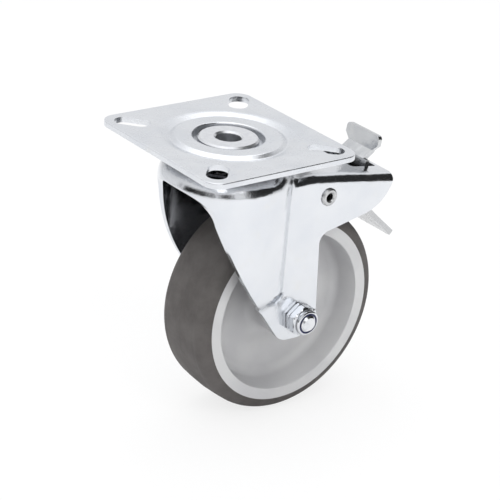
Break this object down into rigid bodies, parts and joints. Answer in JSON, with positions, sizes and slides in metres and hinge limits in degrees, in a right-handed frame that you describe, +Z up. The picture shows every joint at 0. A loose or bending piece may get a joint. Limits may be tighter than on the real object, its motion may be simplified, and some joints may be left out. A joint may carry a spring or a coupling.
{
  "type": "swivel castor",
  "caption": "Top-plate swivel castor with a pressed steel fork, a foot brake that locks wheel and swivel, and a grey plastic wheel with a rubber tyre.",
  "frame": {"origin": "middle of the top plate's mounting face, on the swivel axis", "axes": "+Z up out of the mounting face, the wheel hangs below; +X towards the trailing side, where the axle and the brake are; Y across the wheel, along the axle"},
  "size_m": [0.1313, 0.086, 0.1348],
  "materials": {
    "zinc_plate": "bright zinc plating",
    "bearing_steel": "polished hardened steel",
    "spring_steel": "spring steel",
    "grey_plastic": "moulded light grey polypropylene",
    "grey_rubber": "matt dark grey thermoplastic rubber",
    "blue_nylon": "blue nylon",
    "bearing_plastic": "natural nylon"
  },
  "bodies": {
    "mount": {"top_plate": "zinc_plate", "kingpin": "zinc_plate", "lower_ball_cup": "zinc_plate", "swivel_lock_ring": "zinc_plate"},
    "ball_rings": {"upper_balls": "bearing_steel", "lower_balls": "bearing_steel"},
    "fork_group": {"fork": "zinc_plate", "axle_bolt": "zinc_plate", "axle_nut": "zinc_plate", "nut_insert": "blue_nylon", "axle_tube": "bearing_steel", "hub_washers": "zinc_plate", "brake_rivet": "zinc_plate", "rivet_spacers": "zinc_plate"},
    "roller_set": {"bearing_rollers": "bearing_steel", "roller_cage": "bearing_plastic"},
    "wheel": {"tyre": "grey_rubber", "rim": "grey_plastic"},
    "brake_lever": {"brake_pedal": "zinc_plate", "release_tab": "zinc_plate", "brake_shoe": "zinc_plate", "lock_leaf_spring": "spring_steel", "leaf_rivets": "zinc_plate"}
  },
  "joints": [
    {"name": "swivel", "type": "hinge", "parent": "mount", "child": "fork_group", "pos_m": [0, 0, -0.01], "axis": [0, 0, 1], "continuous": true},
    {"name": "ball_rings_turn", "type": "hinge", "parent": "mount", "child": "ball_rings", "pos_m": [0, 0, -0.008], "axis": [0, 0, 1], "continuous": true},
    {"name": "wheel_spin", "type": "hinge", "parent": "fork_group", "child": "wheel", "pos_m": [0.0303, 0, -0.0848], "axis": [0, 1, 0], "continuous": true},
    {"name": "roller_set_turn", "type": "hinge", "parent": "fork_group", "child": "roller_set", "pos_m": [0.0303, 0, -0.0848], "axis": [0, 1, 0], "continuous": true},
    {"name": "brake_lever_turn", "type": "hinge", "parent": "fork_group", "child": "brake_lever", "pos_m": [0.0418, 0, -0.0284], "axis": [0, 1, 0], "range_deg": [0, 7]}
  ],
  "couplings": [
    {"joint": "ball_rings_turn", "follows": "swivel", "ratio": 0.5},
    {"joint": "roller_set_turn", "follows": "wheel_spin", "ratio": 0.5992}
  ]
}
